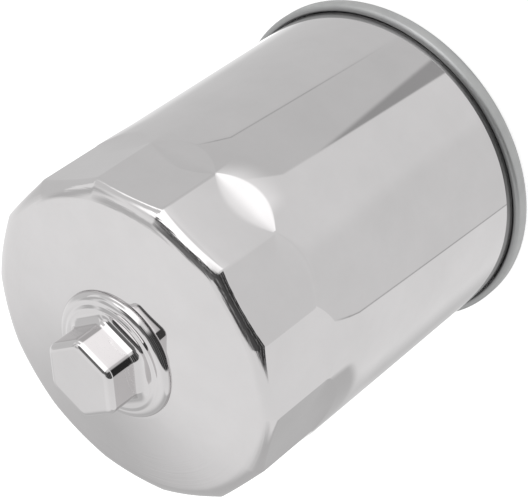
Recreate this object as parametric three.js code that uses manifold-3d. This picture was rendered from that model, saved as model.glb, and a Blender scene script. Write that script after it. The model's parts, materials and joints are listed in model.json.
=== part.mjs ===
// A spin-on oil filter with a hex drive nut: a drawn can that holds a sprung filter element,
// closed by a seamed retainer and a threaded tapping plate. Millimetres, +Z from the gasket to
// the nut. The origin is the centre of the gasket's sealing face.
import * as THREE from 'three';
import { mergeVertices } from 'three/addons/utils/BufferGeometryUtils.js';
import Module from 'manifold-3d';

const wasm = await Module();
wasm.setup();

// --- driving dimensions -------------------------------------------------------------------
const CAN_RADIUS = 38;
const CAN_WALL = 0.8;
const ROUND_STEPS = 56;
const INNER_STEPS = 32;

const SEAM_RADIUS = 39.8;
const SEAM_BASE_Z = 1.2;
const SEAM_TOP_Z = 5.4;
const SEAM_SHEET = 0.7;

const FLAT_COUNT = 14;
const FLAT_APOTHEM = 37;
const FLAT_START_Z = 75;
const FLAT_RAMP = 8;
const SHOULDER_RADIUS = 3.2;
const SEAT_Z = 93.5;
const SEAT_RADIUS = 15;
const CROWN_HEIGHT = 2.6;
const CROWN_SLOPE = 0.115;

const HEX_ACROSS_FLATS = 17;
const HEX_TURN = -17.5;
const HEX_SHEET = 1.6;
const HEX_EDGE = 1.5;
const NUT_HEIGHT = 11.1;
const FLANGE_RADIUS = 14.7;
const FLANGE_HEIGHT = 1.8;

const GASKET_INNER = 30.8;
const GASKET_OUTER = 34.8;
const GASKET_HEIGHT = 3.95;
const GROOVE_Z = 4;
const RETAINER_HOLE = 23;

const PLATE_Z = GROOVE_Z + SEAM_SHEET;
const PLATE_THICKNESS = 4.5;
const PLATE_TOP_Z = PLATE_Z + PLATE_THICKNESS;
const PLATE_RADIUS = 36.9;
const THREAD_MINOR_RADIUS = 8.72;
const THREAD_MAJOR_RADIUS = 9.525;
const NECK_RADIUS = 12.5;
const NECK_TOP_Z = 14.4;
const INLET_COUNT = 10;
const INLET_RADIUS = 2.75;
const INLET_PITCH_RADIUS = 18.6;
const FLAP_LIP_INNER = 22.8;
const FLAP_LIP_OUTER = 25;
const FLAP_TOP_Z = 13.9;

const ELEMENT_BASE_Z = 15.5;
const ELEMENT_TOP_Z = 80;
const ELEMENT_RADIUS = 34.3;
const CAP_SHEET = 0.5;
const CAP_RIM_HEIGHT = 4;
const TUBE_OUTER = 15.8;
const TUBE_WALL = 0.5;
const ADHESIVE_THICKNESS = 1.3;
const MEDIA_OUTER = 33;
const MEDIA_INNER = 16.7;
const MEDIA_SHEET = 0.6;
const PLEAT_COUNT = 40;

const VALVE_RADIUS = 9.9;
const VALVE_WALL = 0.7;
const VALVE_DEPTH = 22;
const VALVE_SEAT_RADIUS = 6.5;
const VALVE_FLANGE_RADIUS = 13.2;
const VALVE_DRAIN_RADIUS = 3;
const POPPET_RADIUS = 8.6;
const BYPASS_WIRE = 0.5;
const BYPASS_COIL_RADIUS = 6;
const BYPASS_TURNS = 5.5;
const ELEMENT_WIRE = 1.1;
const ELEMENT_COIL_RADIUS = 11.5;
const ELEMENT_COIL_TOP_RADIUS = 12.5;
const ELEMENT_TURNS = 3.5;

const GAP = 0.05;

// --- solids and shapes --------------------------------------------------------------------
const DEG = Math.PI / 180;

function toSolid(geometry) {
  const bare = geometry.clone();
  bare.deleteAttribute('normal');
  bare.deleteAttribute('uv');
  const merged = mergeVertices(bare, 1e-4);
  const vertProperties = new Float32Array(merged.attributes.position.array);
  const triVerts = new Uint32Array(merged.index.array);
  const solid = new wasm.Manifold(new wasm.Mesh({ numProp: 3, vertProperties, triVerts }));
  if (solid.volume() > 0) return solid;
  for (let i = 0; i < triVerts.length; i += 3) {
    [triVerts[i], triVerts[i + 1]] = [triVerts[i + 1], triVerts[i]];
  }
  return new wasm.Manifold(new wasm.Mesh({ numProp: 3, vertProperties, triVerts }));
}

function toGeometry(solid) {
  const mesh = solid.getMesh();
  const geometry = new THREE.BufferGeometry();
  geometry.setAttribute('position', new THREE.BufferAttribute(mesh.vertProperties, 3));
  geometry.setIndex(new THREE.BufferAttribute(mesh.triVerts, 1));
  geometry.computeVertexNormals();
  return geometry;
}

// A solid of revolution about Z from [radius, z] points. A profile that leaves the axis is closed
// on itself. The first facet corner lies towards -Y.
function turned(profile, steps = ROUND_STEPS) {
  const points = profile.map(([r, z]) => new THREE.Vector2(r, z));
  const onAxis = profile[0][0] === 0 && profile.at(-1)[0] === 0;
  if (!onAxis) points.push(points[0].clone());
  return toSolid(new THREE.LatheGeometry(points, steps).rotateX(Math.PI / 2));
}

// The points of an arc, as [radius, z], from one angle to another in degrees.
function arc(centreR, centreZ, radius, from, to, steps) {
  const at = (i) => (from + ((to - from) * i) / steps) * DEG;
  return Array.from({ length: steps + 1 }, (_, i) => [
    centreR + radius * Math.cos(at(i)),
    centreZ + radius * Math.sin(at(i)),
  ]);
}

function box(width, depth, height, x, y, z) {
  return toSolid(new THREE.BoxGeometry(width, depth, height).translate(x, y, z));
}

// A rod of the given radius along Z, from z0 to z1.
function rod(radius, z0, z1, steps = 12) {
  return turned([[0, z0], [radius, z0], [radius, z1], [0, z1]], steps);
}

// A flat ring between two radii, from z0 to z1.
function ring(inner, outer, z0, z1, steps = INNER_STEPS) {
  return turned([[inner, z0], [outer, z0], [outer, z1], [inner, z1]], steps);
}

// A round wire that follows a curve, with its section's corners on the wire's radius.
function wire(curve, radius, steps, sides = 6) {
  const section = new THREE.Shape();
  for (let i = 0; i < sides; i += 1) {
    const angle = (i / sides) * 2 * Math.PI;
    const point = [radius * Math.cos(angle), radius * Math.sin(angle)];
    if (i === 0) section.moveTo(...point);
    else section.lineTo(...point);
  }
  section.closePath();
  return toSolid(new THREE.ExtrudeGeometry(section, { steps, extrudePath: curve }));
}

// A compression spring about Z. Its first and last turns lie nearly flat, as closed ends do.
class SpringCurve extends THREE.Curve {
  constructor(radius, endRadius, z0, z1, turns, wireRadius) {
    super();
    Object.assign(this, { radius, endRadius, z0, z1, turns, wireRadius });
  }

  getPoint(t, target = new THREE.Vector3()) {
    const angle = t * this.turns * 2 * Math.PI;
    const endTurn = 1 / this.turns;
    const closed = 2.1 * this.wireRadius;
    const lift = THREE.MathUtils.clamp((t - endTurn) / (1 - 2 * endTurn), 0, 1);
    const ends = Math.min(t / endTurn, 1) + Math.max((t - 1 + endTurn) / endTurn, 0);
    const z = this.z0 + closed * ends + (this.z1 - this.z0 - 2 * closed) * lift;
    const radius = this.radius + (this.endRadius - this.radius) * t;
    return target.set(radius * Math.cos(angle), radius * Math.sin(angle), z);
  }
}

const root = new THREE.Group();

function material(color, metalness, roughness) {
  return () => new THREE.MeshStandardMaterial({ color, metalness, roughness });
}

const chrome = material(0xd8d8da, 1, 0.06);
const satinSteel = material(0xa6a9aa, 1, 0.38);
const zincSteel = material(0xb4b6b2, 1, 0.3);
const tinPlate = material(0xc3c4c2, 1, 0.28);
const springSteel = material(0x8f8f92, 1, 0.3);
const blackRubber = material(0x1b1b1c, 0, 0.7);
const redSilicone = material(0x9c3a24, 0, 0.55);
const paper = material(0xd9c48e, 0, 0.9);
const adhesive = material(0x4d5058, 0, 0.5);

function add(name, solid, makeMaterial) {
  const mesh = new THREE.Mesh(toGeometry(solid), makeMaterial());
  mesh.name = name;
  root.add(mesh);
  return mesh;
}

// --- the can ------------------------------------------------------------------------------
// The dome's outline from the wall to the axis: a shoulder arc, a crown that rises gently, least of
// all beside the nut, and the flat seat under it. An inset gives the inner side of the sheet.
function domeOutline(inset) {
  const shoulderR = CAN_RADIUS - SHOULDER_RADIUS;
  const shoulderZ = SEAT_Z - CROWN_HEIGHT - SHOULDER_RADIUS;
  const reach = SHOULDER_RADIUS - inset;
  const edgeSlope = (2 * CROWN_HEIGHT) / (shoulderR - SEAT_RADIUS) - CROWN_SLOPE;
  const tilt = Math.atan(edgeSlope) / DEG;
  const shoulder = arc(shoulderR, shoulderZ, reach, 0, 90 - tilt, 3);
  const [startR, startZ] = shoulder.at(-1);
  const rise = SEAT_Z - inset - startZ;
  const easing = (edgeSlope - CROWN_SLOPE) / (edgeSlope + CROWN_SLOPE);
  const crown = [1 / 3, 2 / 3, 1].map((t) => [
    startR + (SEAT_RADIUS - startR) * t,
    startZ + rise * ((1 + easing) * t - easing * t * t),
  ]);
  return [...shoulder, ...crown, [0, SEAT_Z - inset]];
}

// A 14-sided sleeve whose faces are the wrench flats. Below the flats it stands clear of the can,
// and a short ramp brings each face out to the round wall.
function flatSleeve(inset) {
  const half = Math.PI / FLAT_COUNT;
  const corner = (FLAT_APOTHEM - inset) / Math.cos(half);
  const clear = CAN_RADIUS / Math.cos(half) + 1;
  const slope = (CAN_RADIUS - FLAT_APOTHEM) / FLAT_RAMP;
  const rampZ = FLAT_START_Z - (clear - corner) / slope;
  const below = -5;
  const above = SEAT_Z + 5;
  return turned([
    [0, below], [clear, below], [clear, rampZ], [corner, FLAT_START_Z], [corner, above], [0, above],
  ], FLAT_COUNT);
}

// The drawn can. The end of its wall turns outwards and up, as the hook that the rim is rolled over.
function makeShell() {
  const wallBase = SEAM_BASE_Z + SEAM_SHEET + 0.1;
  const outside = turned([[0, wallBase], [CAN_RADIUS, wallBase], ...domeOutline(0)]);
  const innerWall = CAN_RADIUS - CAN_WALL;
  const inside = turned([[0, wallBase - 1], [innerWall, wallBase - 1], ...domeOutline(CAN_WALL)]);
  const hookBase = innerWall + 0.2;
  const hookOuter = SEAM_RADIUS - SEAM_SHEET - 0.2;
  const hookInner = hookOuter - 0.6;
  const hookTop = SEAM_TOP_Z - SEAM_SHEET - 0.4;
  const hook = turned([
    [hookBase, wallBase],
    [hookOuter, wallBase],
    [hookOuter, hookTop],
    [hookInner, hookTop],
    [hookInner, wallBase + CAN_WALL],
    [hookBase, wallBase + CAN_WALL],
  ]);
  const body = outside.intersect(flatSleeve(0)).subtract(inside.intersect(flatSleeve(CAN_WALL)));
  return body.add(hook);
}

add('shell', makeShell(), chrome);

// --- the drive nut: a drawn hex cap, open underneath, with a round flange -----------------
function makeNut() {
  const corner = HEX_ACROSS_FLATS / 2 / Math.cos(30 * DEG);
  const roundedCorner = corner - 0.4;
  const flangeEdge = 1.2;
  const stepRadius = 12;
  const stepHeight = 0.4;
  const stepTop = FLANGE_HEIGHT + stepHeight;
  const flange = turned([
    [0, 0], [FLANGE_RADIUS, 0], [FLANGE_RADIUS, FLANGE_HEIGHT - flangeEdge],
    ...arc(FLANGE_RADIUS - flangeEdge, FLANGE_HEIGHT - flangeEdge, flangeEdge, 0, 70, 3),
    [stepRadius + stepHeight, FLANGE_HEIGHT], [stepRadius, stepTop], [0, stepTop],
  ]);
  const outline = (radius) => turned([
    [0, 1], [radius, 1],
    ...arc(radius - HEX_EDGE, NUT_HEIGHT - HEX_EDGE, HEX_EDGE, 0, 90, 3), [0, NUT_HEIGHT],
  ], radius === corner ? 6 : 36);
  const hex = outline(corner).intersect(outline(roundedCorner));
  const bore = (HEX_ACROSS_FLATS / 2 - HEX_SHEET) / Math.cos(30 * DEG);
  const boreTop = NUT_HEIGHT - HEX_SHEET;
  const cavity = turned([[0, -1], [bore, -1], [bore, boreTop], [0, boreTop]], 6);
  return flange.add(hex).subtract(cavity);
}

const nut = add('wrench_nut', makeNut(), chrome);
nut.position.z = SEAT_Z;
nut.rotation.z = HEX_TURN * DEG;

// --- the mounting end ---------------------------------------------------------------------
// The retainer is one pressed sheet: a flat web under the tapping plate, the gasket's groove, and
// an edge rolled round the end of the can.
function makeRetainer() {
  const t = SEAM_SHEET;
  const grooveWall = GASKET_OUTER + 0.2;
  const lipInner = GASKET_INNER - 1.3;
  const lipOuter = GASKET_INNER - 0.1;
  const lipZ = GROOVE_Z - 1.6;
  const baseEdge = 0.9;
  const topEdge = 0.8;
  const hookInner = CAN_RADIUS + 0.1;
  const hookZ = SEAM_TOP_Z - t - 0.1;
  return turned([
    [RETAINER_HOLE, GROOVE_Z],
    [lipInner, GROOVE_Z], [lipInner, lipZ], [lipOuter, lipZ], [lipOuter, GROOVE_Z],
    [grooveWall, GROOVE_Z], [grooveWall, SEAM_BASE_Z + 0.5], [grooveWall + 0.5, SEAM_BASE_Z],
    ...arc(SEAM_RADIUS - baseEdge, SEAM_BASE_Z + baseEdge, baseEdge, -90, 0, 2),
    ...arc(SEAM_RADIUS - topEdge, SEAM_TOP_Z - topEdge, topEdge, 0, 90, 2),
    [hookInner, SEAM_TOP_Z - 0.3], [hookInner, hookZ],
    [SEAM_RADIUS - t, hookZ], [SEAM_RADIUS - t, SEAM_BASE_Z + t],
    [grooveWall + t, SEAM_BASE_Z + t], [grooveWall + t, PLATE_Z],
    [RETAINER_HOLE, PLATE_Z],
  ]);
}

// A thick disc with a raised neck, a bore for the engine's spigot and a ring of oil inlets. The bore
// has the thread's minor radius, and its mouth is wide enough for the thread's major radius.
function makeTappingPlate() {
  const edge = 0.5;
  const disc = turned([
    [0, PLATE_Z], [PLATE_RADIUS - edge, PLATE_Z], [PLATE_RADIUS, PLATE_Z + edge],
    [PLATE_RADIUS, PLATE_TOP_Z - edge], [PLATE_RADIUS - edge, PLATE_TOP_Z],
    [NECK_RADIUS + 1, PLATE_TOP_Z], [NECK_RADIUS, PLATE_TOP_Z + 1],
    [NECK_RADIUS, NECK_TOP_Z - edge], [NECK_RADIUS - edge, NECK_TOP_Z], [0, NECK_TOP_Z],
  ], INNER_STEPS);
  const chamfer = THREAD_MAJOR_RADIUS - THREAD_MINOR_RADIUS + 0.2;
  const threadBore = turned([
    [0, PLATE_Z - 1], [THREAD_MINOR_RADIUS + chamfer + 1, PLATE_Z - 1],
    [THREAD_MINOR_RADIUS, PLATE_Z + chamfer], [THREAD_MINOR_RADIUS, NECK_TOP_Z + 1],
    [0, NECK_TOP_Z + 1],
  ], INNER_STEPS);
  let plate = disc.subtract(threadBore);
  for (let i = 0; i < INLET_COUNT; i += 1) {
    const angle = ((i + 0.5) / INLET_COUNT) * 2 * Math.PI;
    const hole = rod(INLET_RADIUS, PLATE_Z - 1, PLATE_TOP_Z + 1);
    const x = INLET_PITCH_RADIUS * Math.cos(angle);
    plate = plate.subtract(hole.translate([x, INLET_PITCH_RADIUS * Math.sin(angle), 0]));
  }
  return plate;
}

function makeGasket() {
  const edge = 0.4;
  const draft = 0.1;
  return turned([
    [GASKET_INNER + edge + draft, 0], [GASKET_OUTER - edge - draft, 0],
    [GASKET_OUTER - draft, edge], [GASKET_OUTER, GASKET_HEIGHT],
    [GASKET_INNER, GASKET_HEIGHT], [GASKET_INNER + draft, edge],
  ]);
}

add('seam_retainer', makeRetainer(), satinSteel);
add('tapping_plate', makeTappingPlate(), zincSteel);
add('gasket', makeGasket(), blackRubber);

const compoundInner = GASKET_OUTER + 0.2 + SEAM_SHEET + GAP;
const compoundBase = SEAM_BASE_Z + SEAM_SHEET + GAP;
const compoundOuter = CAN_RADIUS - CAN_WALL - GAP;
add('seam_compound', ring(compoundInner, compoundOuter, compoundBase, PLATE_Z - 0.3,
  ROUND_STEPS), blackRubber);

// --- the rubber parts round the plate's neck ----------------------------------------------
// The seal sits on the neck, carries the element and fills the hole in its lower cap.
function makeElementSeal() {
  const sleeveInner = NECK_RADIUS + GAP;
  const sleeveOuter = sleeveInner + 1.4;
  const sleeveZ = PLATE_TOP_Z + 2.2;
  const flangeOuter = sleeveInner + 4.4;
  const flangeZ = FLAP_TOP_Z + 0.1;
  const flangeTop = ELEMENT_BASE_Z - GAP;
  const lipOuter = sleeveInner + 1.8;
  const lipInner = NECK_RADIUS - 1.2;
  const lipTop = ELEMENT_BASE_Z + 3.3;
  return turned([
    [sleeveInner, sleeveZ], [sleeveOuter, sleeveZ], [sleeveOuter, flangeZ],
    [flangeOuter, flangeZ], [flangeOuter, flangeTop], [lipOuter, flangeTop],
    [lipOuter, lipTop - 0.8], [lipOuter - 0.6, lipTop], [lipInner, lipTop],
    [lipInner, NECK_TOP_Z + GAP], [sleeveInner, NECK_TOP_Z + GAP],
  ], INNER_STEPS);
}

// A shallow cone whose outer lip rests on the plate outside the inlet holes.
function makeDrainbackFlap() {
  const inner = NECK_RADIUS + 1.6;
  const thickness = 1.4;
  const lipZ = PLATE_TOP_Z + GAP;
  return turned([
    [inner, FLAP_TOP_Z - thickness], [inner + 1.2, FLAP_TOP_Z - thickness],
    [FLAP_LIP_INNER - 0.2, lipZ + 0.3], [FLAP_LIP_INNER, lipZ], [FLAP_LIP_OUTER, lipZ],
    [FLAP_LIP_OUTER + 0.2, lipZ + 0.75], [inner + 2.2, FLAP_TOP_Z], [inner, FLAP_TOP_Z],
  ], INNER_STEPS);
}

add('element_seal', makeElementSeal(), redSilicone);
add('anti_drainback_flap', makeDrainbackFlap(), redSilicone);

// --- the filter element -------------------------------------------------------------------
const TUBE_INNER = TUBE_OUTER - TUBE_WALL;
const MEDIA_BASE_Z = ELEMENT_BASE_Z + CAP_SHEET + ADHESIVE_THICKNESS + 2 * GAP;
const MEDIA_TOP_Z = ELEMENT_TOP_Z - CAP_SHEET - ADHESIVE_THICKNESS - 2 * GAP;

// A pressed end cap: a sheet disc with a hole, and a rim turned over the end of the paper.
// direction is 1 when the rim points up and -1 when it points down.
function makeEndCap(hole, faceZ, direction) {
  const sheet = CAP_SHEET * direction;
  const rim = CAP_RIM_HEIGHT * direction;
  const bend = 0.6;
  return turned([
    [hole, faceZ], [ELEMENT_RADIUS - bend, faceZ], [ELEMENT_RADIUS, faceZ + bend * direction],
    [ELEMENT_RADIUS, faceZ + rim], [ELEMENT_RADIUS - CAP_SHEET, faceZ + rim],
    [ELEMENT_RADIUS - CAP_SHEET, faceZ + sheet], [hole, faceZ + sheet],
  ], INNER_STEPS);
}

// The perforated tube inside the paper. Each drill goes through both sides.
function makeCenterTube() {
  const rows = 5;
  const columns = 6;
  const holeRadius = 2.2;
  const z0 = ELEMENT_BASE_Z + CAP_SHEET + GAP;
  const z1 = ELEMENT_TOP_Z - CAP_SHEET - GAP;
  let tube = ring(TUBE_INNER, TUBE_OUTER, z0, z1);
  for (let row = 0; row < rows; row += 1) {
    const z = z0 + ((row + 0.5) / rows) * (z1 - z0);
    for (let column = 0; column < columns / 2; column += 1) {
      const angle = ((column + (row % 2) / 2) / columns) * 360;
      const drill = rod(holeRadius, -TUBE_OUTER - 1, TUBE_OUTER + 1, 6);
      tube = tube.subtract(drill.rotate([90, 0, angle]).translate([0, 0, z]));
    }
  }
  return tube;
}

// The pleated paper, as one folded sheet of even thickness that closes on itself.
function makeMedia() {
  const pitch = (2 * Math.PI) / PLEAT_COUNT;
  const inset = MEDIA_SHEET;
  const tipHalfWidth = 0.85;
  const valleyHalfWidth = 0.24;
  const polar = (r, angle) => new THREE.Vector2(r * Math.cos(angle), r * Math.sin(angle));
  const outer = [];
  const inner = [];
  for (let i = 0; i < PLEAT_COUNT; i += 1) {
    const tip = i * pitch;
    const valley = (i + 0.5) * pitch;
    const tipHalf = tipHalfWidth / MEDIA_OUTER;
    const valleyHalf = valleyHalfWidth / MEDIA_INNER;
    outer.push(polar(MEDIA_OUTER, tip - tipHalf), polar(MEDIA_OUTER, tip + tipHalf));
    outer.push(polar(MEDIA_INNER + inset, valley - valleyHalf));
    outer.push(polar(MEDIA_INNER + inset, valley + valleyHalf));
    const tipInner = tipHalf - inset / MEDIA_OUTER;
    const valleyInner = valleyHalf + inset / MEDIA_INNER;
    inner.push(polar(MEDIA_OUTER - inset, tip - tipInner), polar(MEDIA_OUTER - inset, tip + tipInner));
    inner.push(polar(MEDIA_INNER, valley - valleyInner), polar(MEDIA_INNER, valley + valleyInner));
  }
  const sheet = new THREE.Shape(outer);
  sheet.holes.push(new THREE.Path(inner));
  const depth = MEDIA_TOP_Z - MEDIA_BASE_Z;
  return toSolid(new THREE.ExtrudeGeometry(sheet, { depth, bevelEnabled: false })
    .translate(0, 0, MEDIA_BASE_Z));
}

// The metal channel that pinches the two ends of the paper together, over one pleat's tip.
function makeSeamClip() {
  const length = MEDIA_TOP_Z - MEDIA_BASE_Z - 2 * CAP_RIM_HEIGHT;
  const middleZ = (MEDIA_TOP_Z + MEDIA_BASE_Z) / 2;
  const width = 2.6;
  const sheet = 0.3;
  const outerR = MEDIA_OUTER + 0.1 + sheet;
  const depth = 4;
  const channel = box(depth, width, length, outerR - depth / 2, 0, middleZ);
  const slot = box(depth, width - 2 * sheet, length + 2, outerR - sheet - depth / 2, 0, middleZ);
  return channel.subtract(slot);
}

const adhesiveInner = TUBE_OUTER + 0.1;
const adhesiveOuter = ELEMENT_RADIUS - CAP_SHEET - 0.1;
const lowerAdhesiveZ = ELEMENT_BASE_Z + CAP_SHEET + GAP;
const upperAdhesiveZ = MEDIA_TOP_Z + GAP;

add('lower_end_cap', makeEndCap(14.5, ELEMENT_BASE_Z, 1), tinPlate);
add('lower_adhesive', ring(adhesiveInner, adhesiveOuter, lowerAdhesiveZ,
  lowerAdhesiveZ + ADHESIVE_THICKNESS), adhesive);
add('center_tube', makeCenterTube(), tinPlate);
add('media_pack', makeMedia(), paper);
add('media_seam_clip', makeSeamClip(), tinPlate);
add('upper_adhesive', ring(adhesiveInner, adhesiveOuter, upperAdhesiveZ,
  upperAdhesiveZ + ADHESIVE_THICKNESS), adhesive);
add('upper_end_cap', makeEndCap(VALVE_RADIUS + 0.2, ELEMENT_TOP_Z, -1), tinPlate);

// --- the bypass valve, hung in the upper end cap ------------------------------------------
const VALVE_BASE_Z = ELEMENT_TOP_Z - VALVE_DEPTH;
const VALVE_BORE = VALVE_RADIUS - VALVE_WALL;
const VALVE_TOP_Z = ELEMENT_TOP_Z + GAP + VALVE_WALL;

// A drawn cup that hangs by its flange. The flange's inner edge is the valve's seat, and four
// windows in the wall let the oil into the centre tube.
function makeValveBody() {
  const bend = 0.7;
  const hangZ = VALVE_TOP_Z - VALVE_WALL;
  const floorZ = VALVE_BASE_Z + VALVE_WALL;
  const cup = turned([
    [VALVE_DRAIN_RADIUS, VALVE_BASE_Z], [VALVE_RADIUS - bend, VALVE_BASE_Z],
    [VALVE_RADIUS, VALVE_BASE_Z + bend], [VALVE_RADIUS, hangZ], [VALVE_FLANGE_RADIUS, hangZ],
    [VALVE_FLANGE_RADIUS, VALVE_TOP_Z], [VALVE_SEAT_RADIUS, VALVE_TOP_Z],
    [VALVE_SEAT_RADIUS, hangZ], [VALVE_BORE, hangZ], [VALVE_BORE, floorZ],
    [VALVE_DRAIN_RADIUS, floorZ],
  ], INNER_STEPS);
  const width = 6;
  const height = 12;
  const reach = 3 * VALVE_RADIUS;
  const middleZ = VALVE_BASE_Z + 13;
  const alongX = box(reach, width, height, 0, 0, middleZ);
  const alongY = box(width, reach, height, 0, 0, middleZ);
  return cup.subtract(alongX.add(alongY));
}

const sealTop = VALVE_TOP_Z - VALVE_WALL - GAP;
const sealBase = sealTop - 0.9;
const poppetTop = sealBase - GAP;
const poppetBase = poppetTop - 1;

// A disc with a boss that enters the seat and a stem that centres the spring.
function makePoppet() {
  const bossTop = poppetTop + 1.4;
  const stemBase = poppetBase - 5;
  return turned([
    [0, bossTop], [3.5, bossTop], [5.6, poppetTop], [POPPET_RADIUS, poppetTop],
    [POPPET_RADIUS, poppetBase], [4.4, poppetBase], [4, stemBase], [0, stemBase],
  ], INNER_STEPS);
}

const bypassCurve = new SpringCurve(
  BYPASS_COIL_RADIUS, BYPASS_COIL_RADIUS,
  VALVE_BASE_Z + VALVE_WALL + GAP + BYPASS_WIRE, poppetBase - GAP - BYPASS_WIRE,
  BYPASS_TURNS, BYPASS_WIRE);
const elementCurve = new SpringCurve(
  ELEMENT_COIL_RADIUS, ELEMENT_COIL_TOP_RADIUS,
  VALVE_TOP_Z + GAP + ELEMENT_WIRE, SEAT_Z - CAN_WALL - GAP - ELEMENT_WIRE,
  ELEMENT_TURNS, ELEMENT_WIRE);

add('bypass_valve_body', makeValveBody(), tinPlate);
add('bypass_seal', ring(VALVE_SEAT_RADIUS + 0.1, VALVE_BORE - 0.1, sealBase, sealTop), blackRubber);
add('bypass_poppet', makePoppet(), zincSteel);
add('bypass_spring', wire(bypassCurve, BYPASS_WIRE, 12 * BYPASS_TURNS, 4), springSteel);
add('element_spring', wire(elementCurve, ELEMENT_WIRE, 12 * ELEMENT_TURNS + 2), springSteel);

export default root;
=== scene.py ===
"""The looks of a spin-on oil filter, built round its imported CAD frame.

Every piece replaces one CAD node and rides on that node's body. Shapes are worked out in
millimetres, as [radius, height] outlines turned about Z, and made into meshes in metres.
"""
import json
import math

import bmesh
import bpy
import numpy as np
from mathutils import Matrix, Vector


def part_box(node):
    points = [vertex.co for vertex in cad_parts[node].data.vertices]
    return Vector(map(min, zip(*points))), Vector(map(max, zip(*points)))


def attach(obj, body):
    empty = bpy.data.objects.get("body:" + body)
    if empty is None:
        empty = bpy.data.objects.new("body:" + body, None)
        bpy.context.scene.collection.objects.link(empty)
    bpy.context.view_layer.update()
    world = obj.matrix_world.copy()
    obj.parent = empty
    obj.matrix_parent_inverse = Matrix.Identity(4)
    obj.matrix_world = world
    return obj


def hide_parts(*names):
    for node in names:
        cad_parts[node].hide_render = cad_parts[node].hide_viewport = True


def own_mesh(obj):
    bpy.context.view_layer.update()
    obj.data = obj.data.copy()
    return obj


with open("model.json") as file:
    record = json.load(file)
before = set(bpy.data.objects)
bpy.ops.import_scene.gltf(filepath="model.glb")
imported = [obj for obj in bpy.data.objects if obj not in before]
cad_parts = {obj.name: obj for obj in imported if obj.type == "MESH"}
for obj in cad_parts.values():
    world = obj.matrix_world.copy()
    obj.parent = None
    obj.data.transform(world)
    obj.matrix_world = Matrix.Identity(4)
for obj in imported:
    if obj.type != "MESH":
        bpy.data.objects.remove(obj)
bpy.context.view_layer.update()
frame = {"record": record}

MM = 0.001
TURN = 2 * math.pi

# --- driving sizes, in millimetres ------------------------
CAN_RADIUS = 38.0
CAN_WALL = 0.8
FLAT_COUNT = 14
FLAT_APOTHEM = 37.0
FLAT_CORNER_SOFTNESS = 0.1
FLAT_END_Z = 72.0
FLAT_END_SLOPE = 0.116
CROWN_RADIUS = 33.8
SHOULDER_EASE = 2.2
SHOULDER_EASE_FROM = math.radians(15)
SHOULDER_EASE_OVER = math.radians(45)
SEAT_RADIUS = 15.0
CROWN_HEIGHT = 2.6
CROWN_SLOPE = 0.115

HEX_ACROSS_FLATS = 17.0
HEX_TURN = math.radians(-17.5)
HEX_CORNER_RADIUS = 2.6
HEX_EDGE_RADIUS = 1.5
HEX_SHEET = 1.6

THREAD_PITCH = 25.4 / 16
THREAD_MINOR_RADIUS = 8.72
THREAD_MAJOR_RADIUS = 9.525

PLEAT_COUNT = 40

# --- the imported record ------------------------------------
record = frame["record"]
BODY_OF = {node: body for body, nodes in record["behaviour"]["bodies"].items() for node in nodes}


def extent(node):
    """A CAD node's outer radius, lowest height and highest height, in millimetres."""
    low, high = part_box(node)
    return high.x / MM, low.z / MM, high.z / MM


# --- outlines ---------------------------------------------
def arc(centre_r, centre_z, radius, start, end, steps):
    """Points of an arc, as [radius, height]. Angles are in degrees."""
    angles = np.radians(np.linspace(start, end, steps + 1))
    return [[centre_r + radius * math.cos(a), centre_z + radius * math.sin(a)] for a in angles]


def rounded(corners, steps=5):
    """An outline of [radius, height, fillet] corners, each rounded by its own fillet. It closes on
    itself, or it is an open line when its first and last fillets are 0."""
    points = []
    for i, (r, z, fillet) in enumerate(corners):
        here = np.array((r, z))
        if fillet == 0:
            points.append(here)
            continue
        before = np.array(corners[i - 1][:2]) - here
        after = np.array(corners[(i + 1) % len(corners)][:2]) - here
        before /= np.linalg.norm(before)
        after /= np.linalg.norm(after)
        half_angle = math.acos(np.clip(before @ after, -1, 1)) / 2
        bisector = (before + after) / np.linalg.norm(before + after)
        centre = here + bisector * fillet / math.sin(half_angle)
        reach = fillet / math.tan(half_angle)
        first = here + before * reach - centre
        last = here + after * reach - centre
        sweep = math.pi - 2 * half_angle
        for k in range(steps + 1):
            t = k / steps
            first_share, last_share = math.sin((1 - t) * sweep), math.sin(t * sweep)
            spin = (first_share * first + last_share * last) / math.sin(sweep)
            points.append(centre + spin)
    return np.array(points)


def sheet(path, thickness, steps=5):
    """The closed outline of a bent sheet whose middle follows an open line of corners."""
    line = rounded(path, steps)
    along = np.diff(line, axis=0)
    along /= np.linalg.norm(along, axis=1)[:, None]
    normals = np.stack([-along[:, 1], along[:, 0]], axis=1)
    before = np.vstack([normals[:1], normals])
    after = np.vstack([normals, normals[-1:]])
    mitre = (before + after) / (1 + (before * after).sum(1))[:, None]
    offset = mitre * thickness / 2
    return np.vstack([line + offset, (line - offset)[::-1]])


# --- meshes -----------------------------------------------
def add_object(name, data):
    """A new object in the scene."""
    made = bpy.data.objects.new(name, data)
    bpy.context.scene.collection.objects.link(made)
    return made


def make_piece(name, points, faces, sharp=40):
    """A smooth-shaded object from points in millimetres, with its faces turned outwards."""
    mesh = bpy.data.meshes.new(name)
    mesh.from_pydata((np.asarray(points) * MM).tolist(), [], faces)
    work = bmesh.new()
    work.from_mesh(mesh)
    if work.calc_volume(signed=True) < 0:
        bmesh.ops.reverse_faces(work, faces=work.faces)
    work.to_mesh(mesh)
    work.free()
    mesh.shade_smooth()
    mesh.set_sharp_from_angle(angle=math.radians(sharp))
    return add_object(name, mesh)


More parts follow.
